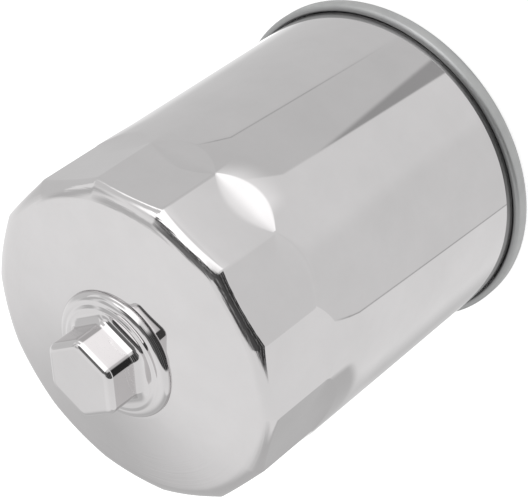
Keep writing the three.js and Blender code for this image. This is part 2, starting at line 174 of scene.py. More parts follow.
def skin(name, rows, loop, sharp=40):
    """A closed surface through rings of points, one row each. With loop the last row joins the
    first. Without it, each end row closes on its middle point."""
    count, steps = rows.shape[:2]
    following = np.roll(np.arange(steps), -1)
    faces = []
    for i in range(count if loop else count - 1):
        lower = i * steps
        upper = ((i + 1) % count) * steps
        faces += [
            (lower + j, lower + k, upper + k, upper + j) for j, k in enumerate(following.tolist())
        ]
    points = rows.reshape(-1, 3)
    if not loop:
        for row, ring in ((0, rows[0]), (count - 1, rows[-1])):
            points = np.vstack([points, ring.mean(0)])
            hub = len(points) - 1
            start = row * steps
            fan = [(start + j, start + k, hub) for j, k in enumerate(following.tolist())]
            faces += [face[::-1] for face in fan] if row == 0 else fan
    return make_piece(name, points, faces, sharp)


def ring_points(radius, height, angle):
    """Points in space from matching arrays of radius, height and angle."""
    return np.stack([radius * np.cos(angle), radius * np.sin(angle), height], axis=-1)


def bar(name, sections):
    """A solid through matching rings of points, with a flat face over each end."""
    count, steps = len(sections), len(sections[0])
    faces = []
    for i in range(count - 1):
        for j in range(steps):
            k = (j + 1) % steps
            faces.append((i * steps + j, i * steps + k, (i + 1) * steps + k, (i + 1) * steps + j))
    faces.append(tuple(range(steps))[::-1])
    faces.append(tuple(range((count - 1) * steps, count * steps)))
    return make_piece(name, np.vstack(sections), faces)


def lathe(name, outline, steps=192, shape=None, loop=True, sharp=40):
    """An outline turned about Z. shape, if given, changes radius and height by angle."""
    outline = np.asarray(outline, float)
    angle = np.linspace(0, TURN, steps, endpoint=False)[None, :]
    radius = np.repeat(outline[:, :1], steps, axis=1)
    height = np.repeat(outline[:, 1:], steps, axis=1)
    angle = np.repeat(angle, len(outline), axis=0)
    if shape:
        radius, height = shape(radius, height, angle)
    return skin(name, ring_points(radius, height, angle), loop, sharp)


def cut(piece, cutters):
    """Takes the cutters out of a piece, and removes them."""
    for cutter in cutters:
        modifier = piece.modifiers.new("cut", "BOOLEAN")
        modifier.object = cutter
        modifier.operation = "DIFFERENCE"
        modifier.solver = "EXACT"
    graph = bpy.context.evaluated_depsgraph_get()
    mesh = bpy.data.meshes.new_from_object(piece.evaluated_get(graph))
    piece.modifiers.clear()
    old = piece.data
    piece.data = mesh
    bpy.data.meshes.remove(old)
    for cutter in cutters:
        bpy.data.objects.remove(cutter)
    mesh.shade_smooth()
    mesh.set_sharp_from_angle(angle=math.radians(35))


def drill(outline, place, steps=32):
    """A turned cutter whose outline runs along Z, moved by the given matrix."""
    cutter = lathe("cutter", outline, steps, loop=False)
    cutter.data.transform(place)
    return cutter


def install(piece, node, material):
    """The piece stands for a CAD node: it has that node's body and material slot."""
    piece.data.materials.clear()
    piece.data.materials.append(material)
    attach(piece, BODY_OF[node])
    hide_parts(node)


# --- the can ----------------------------------------------
def can_angles():
    """Angles round the can, closer together at the corners between the flats."""
    steps_per_flat = 24
    evenness = 0.35
    pitch = TURN / FLAT_COUNT
    across = np.linspace(-1, 1, steps_per_flat, endpoint=False)
    bunched = evenness * across + (1 - evenness) * np.sin(across * math.pi / 2)
    middles = -TURN / 4 + pitch * (np.arange(FLAT_COUNT) + 0.5)
    return (middles[:, None] + bunched[None, :] * pitch / 2).ravel()


def flat_depth(angle):
    """How far the wrench flats lie inside the round can, with their corners softened."""
    pitch = TURN / FLAT_COUNT
    off_middle = np.mod(angle + TURN / 4, pitch) - pitch / 2
    plane = FLAT_APOTHEM / np.cos(off_middle)
    overlap = np.maximum(FLAT_CORNER_SOFTNESS - np.abs(CAN_RADIUS - plane), 0)
    return CAN_RADIUS - np.minimum(plane, CAN_RADIUS) + overlap**2 / (4 * FLAT_CORNER_SOFTNESS)


def ramp_share(t, crisp=0.08, soft=0.16):
    """How deep the end of a flat is, from 0 at the round wall to 1 on the flat. It leaves the round
    wall with a crisp bend and meets the flat with a soft one."""
    straight = t - crisp / 2
    late = np.maximum(t - soft, 0)
    early = np.minimum(t, crisp)
    share = np.where(t < crisp, early**2 / (2 * crisp), straight) - late**2 / (2 * (1 - soft))
    return share / (1 - crisp / 2 - (1 - soft) / 2)


def shoulder_curve(end, count=22, samples=600):
    """The shoulder, from the wall to the crown, as shares of its width: the way the surface faces,
    how far in it has come and how far up. It bends tightest beside the wall."""
    facing = np.linspace(0, end, count)
    fine = np.linspace(0, end, samples)
    ease = np.clip((fine - SHOULDER_EASE_FROM) / SHOULDER_EASE_OVER, 0, 1)
    bend = 1 + SHOULDER_EASE * ease**2 * (3 - 2 * ease)
    inward = np.cumsum(bend * np.sin(fine))
    upward = np.cumsum(bend * np.cos(fine))
    return (facing, np.interp(facing, fine, inward / inward[-1]),
            np.interp(facing, fine, upward / inward[-1]))


def can_side(angle, inset, seat_z, base_z):
    """The can's side from the nut's seat out over the shoulder and down the wall to a base height,
    as matching rows of radius and height. An inset gives the inner side of the sheet."""
    seat_radii = (1.5, 6.0, 11.0, 14.0)
    crown_rows, flat_rows, ramp_rows, wall_rows = 28, 8, 15, 10
    least_depth = 0.02
    depth = flat_depth(angle)
    span = CROWN_RADIUS - SEAT_RADIUS
    bend = (CROWN_HEIGHT - CROWN_SLOPE * span) / span**2
    tilt = math.pi / 2 - math.atan(CROWN_SLOPE + 2 * bend * span)
    width = CAN_RADIUS - depth - CROWN_RADIUS

    def crown_z(radius):
        out = np.maximum(radius - SEAT_RADIUS, 0)
        return seat_z - inset - CROWN_SLOPE * out - bend * out**2

    rows = []
    for radius in seat_radii:
        rows.append((np.full_like(angle, radius), np.full_like(angle, seat_z - inset)))
    edge = CROWN_RADIUS - inset * math.cos(tilt)
    for t in np.linspace(0, 1, crown_rows):
        radius = SEAT_RADIUS + (edge - SEAT_RADIUS) * t
        rows.append((np.full_like(angle, radius), np.full_like(angle, crown_z(radius))))
    facing, inward, upward = shoulder_curve(tilt)
    wall_z = seat_z - CROWN_HEIGHT - width * upward[-1]
    for face, come, rise in reversed(list(zip(facing[:-1], inward[:-1], upward[:-1]))):
        rows.append((CAN_RADIUS - depth - width * come - inset * math.cos(face),
                     wall_z + width * rise - inset * math.sin(face)))
    ramp = np.maximum(depth, least_depth) / FLAT_END_SLOPE
    top = FLAT_END_Z + ramp / 2
    for t in np.linspace(0, 1, flat_rows)[1:]:
        rows.append((CAN_RADIUS - inset - depth, wall_z + (top - wall_z) * t))
    for t in np.linspace(1, 0, ramp_rows)[1:]:
        rows.append((CAN_RADIUS - inset - depth * ramp_share(t), top - ramp * (1 - t)))
    end = top - ramp
    for t in np.linspace(0, 1, wall_rows)[1:]:
        rows.append((np.full_like(angle, CAN_RADIUS - inset), end + (base_z - end) * t))
    return rows


def build_can(material):
    """The drawn can. Its lower edge turns outwards and up, as the hook inside the rolled rim."""
    angle = can_angles()
    hook_radius, base_z, _ = extent("shell")
    seat_z = extent("wrench_nut")[1]
    hook_sheet = 0.6
    hook_top = base_z + 2.3
    outer_bend, inner_bend = 0.8, 0.6
    steps = 6
    inner_wall = CAN_RADIUS - CAN_WALL
    gap = hook_radius - hook_sheet - CAN_RADIUS
    throat_z = base_z + CAN_WALL + gap / 2
    hook = [
        *arc(CAN_RADIUS + gap / 2, throat_z, gap / 2, 180, 360, steps),
        *arc(hook_radius - hook_sheet / 2, hook_top - hook_sheet / 2, hook_sheet / 2, 180, 0,
             steps),
        *arc(hook_radius - outer_bend, base_z + outer_bend, outer_bend, 0, -90, steps),
        *arc(inner_wall + inner_bend, base_z + inner_bend, inner_bend, -90, -180, steps),
    ]
    rows = can_side(angle, 0, seat_z, throat_z + 0.3)
    rows += [(np.full_like(angle, r), np.full_like(angle, z)) for r, z in hook]
    rows += can_side(angle, CAN_WALL, seat_z, base_z + 0.9)[::-1]
    points = np.stack([ring_points(radius, height, angle) for radius, height in rows])
    install(skin("drawn_can", points, loop=False), "shell", material)


# --- the drive nut ----------------------------------------
def hex_ring(inset):
    """A hexagon with round corners, moved in from the nut's outside by an even distance."""
    least_corner = 0.05
    corner_steps, side_steps = 15, 10
    corner = max(HEX_CORNER_RADIUS - inset, least_corner)
    apothem = HEX_ACROSS_FLATS / 2 - inset
    centre = (apothem - corner) / math.cos(TURN / 12)

    def on_corner(middle, turn):
        direction = middle + turn
        return np.array((centre * math.cos(middle) + corner * math.cos(direction),
                         centre * math.sin(middle) + corner * math.sin(direction)))

    points = []
    for side in range(6):
        middle = (side + 0.5) * TURN / 6
        points += [on_corner(middle, turn)
                   for turn in np.linspace(-TURN / 12, TURN / 12, corner_steps)]
        start, end = points[-1], on_corner(middle + TURN / 6, -TURN / 12)
        points += [start + (end - start) * t for t in np.linspace(0, 1, side_steps)[1:-1]]
    return np.array(points)


def build_nut(material):
    """A drawn hex cap, open underneath, with a round flange that is welded to the dome."""
    _, seat_z, top_z = extent("wrench_nut")
    flange_radius = 14.7
    flange_edge = 1.7
    flange_top = 1.8
    step_top = 2.2
    step_radius = 11.5
    step_width = 1.1
    foot = 2.1
    skirt = 2.0
    base_edge = 0.15
    underside = 10.0
    mouth = 0.3
    bore_edge = 0.6
    top = top_z - seat_z
    bore_top = top - HEX_SHEET
    outside = hex_ring(0)
    bearing = np.arctan2(outside[:, 1], outside[:, 0])
    circle = np.stack([np.cos(bearing), np.sin(bearing)], axis=1)
    rows = [(hex_ring(HEX_EDGE_RADIUS) * share, top) for share in (0.1, 0.4, 0.75, 0.97)]
    for turn in np.linspace(math.pi / 2, 0, 13):
        inset = HEX_EDGE_RADIUS * (1 - math.cos(turn))
        rows.append((hex_ring(inset), top - HEX_EDGE_RADIUS * (1 - math.sin(turn))))
    for z in np.linspace(top - HEX_EDGE_RADIUS, step_top + foot, 8)[1:]:
        rows.append((outside, z))
    for turn in np.linspace(0, math.pi / 2, 9)[1:]:
        inset = -foot * (1 - math.cos(turn))
        rows.append((hex_ring(inset), step_top + foot * (1 - math.sin(turn))))
    for t in np.linspace(0, 1, 9):
        z = step_top - (step_top - flange_top) * t * t * (3 - 2 * t)
        rows.append((circle * (step_radius + step_width * t), z))
    rim = [(flange_radius - skirt * (1 - r), flange_top - flange_edge * (1 - z))
           for r, z in arc(0, 0, 1, 90, 0, 16)]
    base = [(flange_radius, base_edge), (flange_radius - base_edge, 0), (underside, 0)]
    for r, z in rim + base:
        rows.append((circle * r, z))
    rows += [
        (hex_ring(HEX_SHEET - mouth), 0), (hex_ring(HEX_SHEET), mouth),
        (hex_ring(HEX_SHEET), bore_top - bore_edge), (hex_ring(HEX_SHEET + bore_edge), bore_top),
        (hex_ring(HEX_SHEET) * 0.1, bore_top),
    ]
    spin = np.array(((math.cos(HEX_TURN), math.sin(HEX_TURN)),
                     (-math.sin(HEX_TURN), math.cos(HEX_TURN))))
    points = np.stack([
        np.column_stack([ring @ spin, np.full(len(ring), seat_z + z)]) for ring, z in rows
    ])
    install(skin("hex_drive_nut", points, loop=False, sharp=60), "wrench_nut", material)


# --- the mounting end -------------------------------------
def build_rim(material):
    """The retainer: one pressed sheet with a web, the gasket's groove and the rolled edge. Eight
    projection welds dent its web where it is joined to the plate."""
    rim_radius, base_z, top_z = extent("seam_retainer")
    gasket_radius = extent("gasket")[0]
    web_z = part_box("tapping_plate")[0].z / MM
    sheet_t = 0.7
    hole = 23.0
    face_z = web_z - sheet_t
    wall = gasket_radius + 0.2
    hook_inner = CAN_RADIUS + 0.1
    hook_z = top_z - sheet_t - 0.1
    lip_inner, lip_outer, lip_z = 29.5, 30.7, 2.4
    outline = rounded([
        (hole, face_z, 0.2), (lip_inner, face_z, 0.4), (lip_inner, lip_z, 0.3),
        (lip_outer, lip_z, 0.3), (lip_outer, face_z, 0.1), (wall, face_z, 0.3), (wall, base_z, 0.6),
        (rim_radius, base_z, 1.5), (rim_radius, top_z, 0.9), (hook_inner + 0.4, top_z, 0.2),
        (hook_inner, top_z - 0.4, 0.08), (hook_inner, hook_z, 0.03),
        (rim_radius - sheet_t, hook_z, 0.3), (rim_radius - sheet_t, base_z + sheet_t, 0.8),
        (wall + sheet_t, base_z + sheet_t, 0.3), (wall + sheet_t, web_z, 0.4), (hole, web_z, 0.2),
    ], steps=8)
    web_outer = lip_inner - 0.5
    web = np.linspace(hole + 0.4, web_outer, 24)
    low = np.column_stack([web, np.full(len(web), face_z)])
    after_hole = np.argmax(outline[:, 0] > hole + 0.3)
    outline = np.insert(outline, after_hole, low, axis=0)

    weld_count = 8
    weld_circle = 26.2
    weld_radius = 1.9
    weld_depth = 0.35

    def welds(radius, height, angle):
        bearing = np.mod(angle * weld_count / TURN, 1) - 0.5
        across = bearing * TURN / weld_count * radius
        far = np.hypot(across, radius - weld_circle)
        dent = weld_depth * np.clip(1 - (far / weld_radius) ** 2, 0, 1) ** 0.7
        below = np.abs(height - face_z) < 0.01
        return radius, height + np.where(below & (radius < web_outer), dent, 0)

    install(lathe("rolled_seam", outline, 320, welds), "seam_retainer", material)


def build_compound(material):
    """The sealing compound squeezed into the seam, with a slightly uneven surface."""
    outer, base_z, top_z = extent("seam_compound")
    inner = 35.75
    wave = 0.08

    def squeezed(radius, height, angle):
        swell = wave * (np.sin(9 * angle) + np.sin(23 * angle + 1.0) - 2)
        upper = height > (base_z + top_z) / 2
        return radius, height + np.where(upper, swell, 0)

    outline = rounded([
        (inner, base_z, 0.3), (outer, base_z, 0.4), (outer, top_z, 0.5), (inner, top_z, 0.5),
    ])
    install(lathe("seaming_compound", outline, 240, squeezed), "seam_compound", material)


def thread_radius(height, angle):
    """The radius of a right-hand unified thread cut in a bore."""
    phase = np.mod(height / THREAD_PITCH - angle / TURN, 1)
    from_root = np.abs(phase - 0.5) * THREAD_PITCH
    flank = (from_root - THREAD_PITCH / 16) / math.tan(math.radians(30))
    return np.clip(THREAD_MAJOR_RADIUS - flank, THREAD_MINOR_RADIUS, THREAD_MAJOR_RADIUS)


def build_plate(material):
    """The thick plate with its raised neck, threaded bore and chamfered oil inlets."""
    radius, base_z, neck_z = extent("tapping_plate")
    thickness = 4.5
    top_z = base_z + thickness
    neck = 12.5
    mouth = THREAD_MAJOR_RADIUS + 0.7
    neck_mouth = mouth - 0.3
    outside = rounded([
        (mouth, base_z, 0), (radius, base_z, 0.6), (radius, top_z, 0.6), (neck, top_z, 1.0),
        (neck, neck_z, 0.6), (neck_mouth, neck_z, 0),
    ])
    bore_z = np.arange(neck_z - 0.05, base_z, -THREAD_PITCH / 16)
    upper = neck_mouth - (neck_z - bore_z)
    lower = mouth - (bore_z - base_z)
    bore = np.column_stack([np.maximum(THREAD_MINOR_RADIUS, np.maximum(upper, lower)), bore_z])

    def threaded(r, z, angle):
        return np.maximum(r, thread_radius(z, angle)), z

    plate = lathe("threaded_plate", np.vstack([outside, bore]), 128, threaded, sharp=30)
    inlet_count = 10
    inlet_circle = 18.6
    inlet = 2.75
    chamfer = 0.35
    outline = [
        [inlet + chamfer + 1, base_z - 1], [inlet, base_z + chamfer], [inlet, top_z - chamfer],
        [inlet + chamfer + 1, top_z + 1],
    ]
    holes = []
    for i in range(inlet_count):
        angle = (i + 0.5) * TURN / inlet_count
        place = Vector((math.cos(angle), math.sin(angle), 0)) * inlet_circle * MM
        holes.append(drill(outline, Matrix.Translation(place)))
    cut(plate, holes)
    install(plate, "tapping_plate", material)


def build_gasket(material):
    """The base gasket: a square-cut ring with round edges, draft and a moulding line."""
    outer, base_z, top_z = extent("gasket")
    inner = 30.8
    parting = (base_z + top_z) / 2
    install(lathe("base_gasket", rounded([
        (inner + 0.1, base_z, 0.45), (outer - 0.1, base_z, 0.45), (outer - 0.08, parting - 0.12, 0),
        (outer, parting, 0), (outer - 0.06, parting + 0.12, 0), (outer - 0.02, top_z, 0.3),
        (inner + 0.02, top_z, 0.3), (inner + 0.06, parting + 0.12, 0), (inner, parting, 0),
        (inner + 0.08, parting - 0.12, 0),
    ]), 240), "gasket", material)


# --- the rubber parts round the plate's neck --------------
def build_neck_seal(material):
    """The seal between the plate's neck and the element, with two ribs on its sleeve."""
    base_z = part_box("element_seal")[0].z / MM
    top_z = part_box("element_seal")[1].z / MM
    neck_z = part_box("tapping_plate")[1].z / MM + 0.05
    flange_z = 14.0
    flange_top = 15.45
    install(lathe("neck_seal", rounded([
        (12.55, base_z, 0.2), (13.95, base_z, 0.5), (13.95, base_z + 0.7, 0),
        (13.8, base_z + 0.9, 0), (13.8, base_z + 1.2, 0), (13.95, base_z + 1.4, 0),
        (13.95, flange_z, 0.3), (16.95, flange_z, 0.4), (16.95, flange_top, 0.4),
        (15.9, flange_top, 0.1), (15.7, flange_top - 0.2, 0.1), (15.1, flange_top - 0.2, 0.1),
        (14.9, flange_top, 0.1), (14.35, flange_top, 0.2), (14.35, 18.0, 0.3),
        (13.75, top_z, 0.35), (11.3, top_z, 0.5), (11.3, neck_z, 0.3), (12.55, neck_z, 0.1),
    ]), 192), "element_seal", material)


def build_flap(material):
    """The anti-drainback flap: a thick inner ring, a thin cone and a beaded lip on the plate."""
    base_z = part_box("anti_drainback_flap")[0].z / MM
    top_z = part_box("anti_drainback_flap")[1].z / MM
    flap = lathe("drainback_flap_rubber", rounded([
        (14.1, top_z - 1.4, 0.3), (15.3, top_z - 1.4, 0.5), (17.6, top_z - 2.55, 0.6),
        (22.7, base_z + 0.75, 0.5), (23.0, base_z, 0.35), (24.9, base_z, 0.45),
        (25.15, base_z + 0.8, 0.35), (23.6, base_z + 1.45, 0.5), (17.9, top_z - 1.35, 0.6),
        (16.2, top_z, 0.4), (14.1, top_z, 0.3),
    ]), 192)
    install(flap, "anti_drainback_flap", material)
    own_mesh(flap)


# --- the element ------------------------------------------
def build_end_cap(name, node, hole, direction, material):
    """A pressed end cap with two stiffening beads and a rim turned over the paper."""
    outer, low_z, high_z = extent(node)
    face_z = low_z if direction > 0 else high_z
    t = 0.5
    bead = 0.35
    side = outer - t / 2

    def at(r, lift, bend):
        return (r, face_z + direction * (t / 2 + lift), bend)

    path = [at(hole + 0.1, 0, 0)]
    for start in (19.2, 26.2):
        path += [at(start, 0, 0.4), at(start + 0.7, -bead, 0.4), at(start + 3.3, -bead, 0.4),
                 at(start + 4.0, 0, 0.4)]
    path += [at(side, 0, 0.7), at(side, 3.6, 0)]
    install(lathe(name, sheet(path, t), 240), node, material)


def build_adhesive(name, node, direction, material):
    """The cured adhesive between an end cap and the paper. Its free side creeps up the pleats."""
    outer, low_z, high_z = extent(node)
    inner = 15.95
    cap_z, paper_z = (low_z, high_z) if direction > 0 else (high_z, low_z)

    def creeping(radius, height, angle):
        share = np.clip((height - cap_z) / (paper_z - cap_z), 0, 1) ** 2
        wave = 0.06 * np.cos(PLEAT_COUNT * angle) + 0.04 * np.sin(7 * angle + radius)
        return radius, height + direction * share * (wave - 0.1)

    outline = rounded([(inner, cap_z, 0.15), (outer, cap_z, 0.15), (outer, paper_z, 0.5),
                       (inner, paper_z, 0.4)])
    free = np.column_stack([np.linspace(outer - 0.8, inner + 0.8, 14), np.full(14, paper_z)])
    last_outer = np.max(np.nonzero(outline[:, 0] > (inner + outer) / 2))
    outline = np.insert(outline, last_outer + 1, free, axis=0)
    install(lathe(name, outline, 480, creeping), node, material)


def build_tube(material):
    """The perforated centre tube, rolled from sheet and closed by a lock seam."""
    outer, low_z, high_z = extent("center_tube")
    inner = outer - 0.5
    seam_at = math.radians(15)
    seam_half = math.radians(3.2)
    seam_height = 0.32

    def seamed(radius, height, angle):
        off = (angle - seam_at) / seam_half
        ridge = seam_height * np.clip(1 - off**2, 0, 1) ** 0.35
        return radius + np.where(radius > inner + 0.2, ridge, 0), height

    edges = rounded([(inner, low_z, 0.12), (outer, low_z, 0.12), (outer, high_z, 0.12),
                     (inner, high_z, 0.12)], steps=3)
    tube = lathe("perforated_tube", edges, 288, seamed)
    rows = 5
    hole_radius = 2.2
    hole = [[hole_radius, -20], [hole_radius, 20]]
    holes = []
    for row in range(rows):
        z = low_z + (row + 0.5) / rows * (high_z - low_z)
        for column in range(3):
            turn = Matrix.Rotation((column + (row % 2) / 2) * TURN / 6, 4, "Z")
            lay = Matrix.Rotation(TURN / 4, 4, "X")
            holes.append(drill(hole, Matrix.Translation((0, 0, z * MM)) @ turn @ lay))
    cut(tube, holes)
    install(tube, "center_tube", material)


def pleat_line():
    """The middle line of the pleated paper: round folds joined by straight flanks."""
    fold = 0.55
    fold_steps, flank_steps = 7, 8
    tip_radius, valley_radius = 32.7, 17.0
    pitch = TURN / PLEAT_COUNT
    bends = np.linspace(-TURN / 4, TURN / 4, fold_steps)
    points = []
    for i in range(PLEAT_COUNT):
        for angle, centre, out in ((i * pitch, tip_radius - fold, 1),
                                   ((i + 0.5) * pitch, valley_radius + fold, -1)):
            radial = np.array((math.cos(angle), math.sin(angle)))
            across = np.array((-radial[1], radial[0]))
            for bend in bends:
                turn = out * math.cos(bend) * radial + math.sin(bend) * across
                points.append(centre * radial + fold * turn)
    points = np.array(points)
    ahead = np.roll(points, -1, axis=0)
    line = []
    for i, (here, there) in enumerate(zip(points, ahead)):
        line.append(here)
        if (i + 1) % fold_steps == 0:
            line += [here + (there - here) * t for t in np.linspace(0, 1, flank_steps)[1:-1]]
    return np.array(line)


def build_paper(material):
    """The pleated paper: one even sheet with round folds, embossed to hold its flanks apart."""
    _, low_z, high_z = extent("media_pack")
    line = pleat_line()
    along = np.roll(line, -1, axis=0) - np.roll(line, 1, axis=0)
    along /= np.linalg.norm(along, axis=1)[:, None]
    normal = np.stack([along[:, 1], -along[:, 0]], axis=1)
    radius = np.linalg.norm(line, axis=1)
    flank_inner, flank_outer, fade = 18.5, 31.5, 2
    boss_height, boss_length, boss_width = 0.1, 9, 5
    flank = np.clip(np.minimum(radius - flank_inner, flank_outer - radius) / fade, 0, 1)
    heights = np.linspace(low_z, high_z, 25)
    half = 0.3

    def layer(side, z):
        boss = (boss_height * flank * math.sin(z * TURN / boss_length)
                * np.sin(radius * TURN / boss_width))
        flat = line + normal * (side * half + boss)[:, None]
        return np.column_stack([flat, np.full(len(flat), z)])

    rows = [layer(1, z) for z in heights] + [layer(-1, z) for z in heights[::-1]]
    install(skin("pleated_paper", np.stack(rows), loop=True), "media_pack", material)


def build_paper_clip(material):
    """The metal channel that pinches the two ends of the paper, crimped along its length."""
    low, high = (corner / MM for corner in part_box("media_seam_clip"))
    t = 0.3
    crimp_pitch = 6.5
    crimp_depth = 0.16
    half = high.y - t / 2
    back = high.x - t / 2
    line = sheet([(low.x, half, 0), (back, half, 0.5), (back, -half, 0.5), (low.x, -half, 0)], t, 6)
    rows = []
    for z in np.linspace(low.z, high.z, 90):
        crimp = crimp_depth * max(math.cos(z * TURN / crimp_pitch), 0) ** 4
        mouth = np.clip((back - line[:, 0]) / 3, 0, 1)
        rows.append(np.column_stack([
            line[:, 0], line[:, 1] * (1 - crimp * mouth), np.full(len(line), z),
        ]))
    install(bar("paper_clip", rows), "media_seam_clip", material)


# --- the bypass valve -------------------------------------
def window_cutter(width, height, z, turn):
    """A long bar with round edges, laid across the valve at a height and turned about Z."""
    half_w, half_h, corner, reach = width / 2, height / 2, 1.0, 15
    line = rounded([(-half_w, -half_h, corner), (half_w, -half_h, corner),
                    (half_w, half_h, corner), (-half_w, half_h, corner)], 4)
    ends = [np.column_stack([line[:, 0], np.full(len(line), y), z + line[:, 1]])
            for y in (-reach, reach)]
    cutter = bar("cutter", ends)
    cutter.data.transform(Matrix.Rotation(turn, 4, "Z"))
    return cutter


def build_valve_cage(material):
    """The drawn cup that holds the bypass valve, with four windows. Its flange is the seat."""
    flange, low_z, top_z = extent("bypass_valve_body")
    t = 0.7
    outer, drain, seat = 9.9, 3.0, 6.5
    inner = outer - t
    outline = rounded([
        (drain, low_z, 0.15), (outer, low_z, 1.4), (outer, top_z - t, 0.35),
        (flange, top_z - t, 0.2), (flange, top_z, 0.25), (seat, top_z, 0.3),
        (seat, top_z - t, 0.25), (inner, top_z - t, 0.15), (inner, low_z + t, 0.7),
        (drain, low_z + t, 0.15),
    ])
    cage = lathe("valve_cage", outline, 192)
    window_width, window_height = 6, 12
    middle = low_z + 13
    cut(cage, [window_cutter(window_width, window_height, middle, turn)
               for turn in (0, TURN / 4)])
    install(cage, "bypass_valve_body", material)


def build_valve_seal(material):
    """The rubber ring under the valve's seat, with a raised sealing lip."""
    outer, low_z, top_z = extent("bypass_seal")
    inner = 6.6
    install(lathe("valve_seal", rounded([
        (inner, low_z, 0.2), (outer, low_z, 0.2), (outer, top_z, 0.2), (7.9, top_z, 0.1),
        (7.7, top_z - 0.15, 0.1), (inner, top_z - 0.15, 0.2),
    ], 4), 160), "bypass_seal", material)


def build_poppet(material):
    """The bypass poppet: a disc with a boss that enters the seat and a stem inside the spring."""
    outer, low_z, top_z = extent("bypass_poppet")
    disc_top = top_z - 1.4
    disc_base = disc_top - 1
    outline = [[0.4, top_z], *rounded([
        (1.2, top_z, 0), (3.5, top_z, 0.5), (5.6, disc_top, 0.5), (outer, disc_top, 0.25),
        (outer, disc_base, 0.25), (4.4, disc_base, 0.35), (4.0, low_z, 0.5), (1.6, low_z, 0.3),
        (1.4, low_z + 1.5, 0),
    ], 5).tolist(), [0.3, low_z + 1.5]]
    install(lathe("valve_poppet", outline, 160, loop=False), "bypass_poppet", material)


# --- the springs ------------------------------------------
def spring_line(start_radius, end_radius, low_z, high_z, turns, wire, steps_per_turn):
    """The middle line of a compression spring whose first and last turns lie nearly flat."""
    t = np.linspace(0, 1, round(turns * steps_per_turn) + 1)
    angle = t * turns * TURN
    end_turn = 1 / turns
    closed = 2.1 * wire
    lift = np.clip((t - end_turn) / (1 - 2 * end_turn), 0, 1)
    ends = np.minimum(t / end_turn, 1) + np.maximum((t - 1 + end_turn) / end_turn, 0)
    z = low_z + closed * ends + (high_z - low_z - 2 * closed) * lift
    radius = start_radius + (end_radius - start_radius) * t
    return ring_points(radius, z, angle)


def sweep(name, line, wire, sides=16):
    """A round wire along a line about Z, with its cut ends slightly rounded."""
    along = np.gradient(line, axis=0)
    along /= np.linalg.norm(along, axis=1)[:, None]
    outward = line * (1, 1, 0)
    outward -= (outward * along).sum(1)[:, None] * along
    outward /= np.linalg.norm(outward, axis=1)[:, None]
    upward = np.cross(along, outward)
    turn = np.linspace(0, TURN, sides, endpoint=False)[None, :, None]
    section = np.cos(turn) * outward[:, None] + np.sin(turn) * upward[:, None]
    rings = line[:, None] + wire * section
    end_rounding = 0.18
    edge = end_rounding * wire
    first = line[:1, None] + (wire - edge) * section[:1] - edge * along[:1, None]
    last = line[-1:, None] + (wire - edge) * section[-1:] + edge * along[-1:, None]
    return skin(name, np.concatenate([first, rings, last]), loop=False)


def build_bypass_spring(material):
    """The bypass spring, from the valve's floor to the poppet."""
    wire = 0.5
    coil_radius = 6.0
    _, low_z, high_z = extent("bypass_spring")
    line = spring_line(coil_radius, coil_radius, low_z + wire, high_z - wire, 5.5, wire, 64)
    spring = sweep("valve_spring", line, wire)
    install(spring, "bypass_spring", material)
    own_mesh(spring)


def build_element_spring(material):
    """The coil spring that presses the element on its seal."""
    wire = 1.1
    low_radius, high_radius = 11.5, 12.5
    _, low_z, high_z = extent("element_spring")
    line = spring_line(low_radius, high_radius, low_z + wire, high_z - wire, 3.5, wire, 80)
    spring = sweep("element_coil_spring", line, wire, 20)
    install(spring, "element_spring", material)
    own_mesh(spring)


# --- finishes ---------------------------------------------
def add_node(tree, kind, inputs, **settings):
    """A new node with its settings. Each input, by name or number, is fed by another node's output
    or set to a value."""
    made = tree.nodes.new(kind)
    for key, value in settings.items():
        setattr(made, key, value)
    for key, value in inputs.items():
        if isinstance(value, bpy.types.NodeSocket):
            tree.links.new(value, made.inputs[key])
        else:
            made.inputs[key].default_value = value
    return made


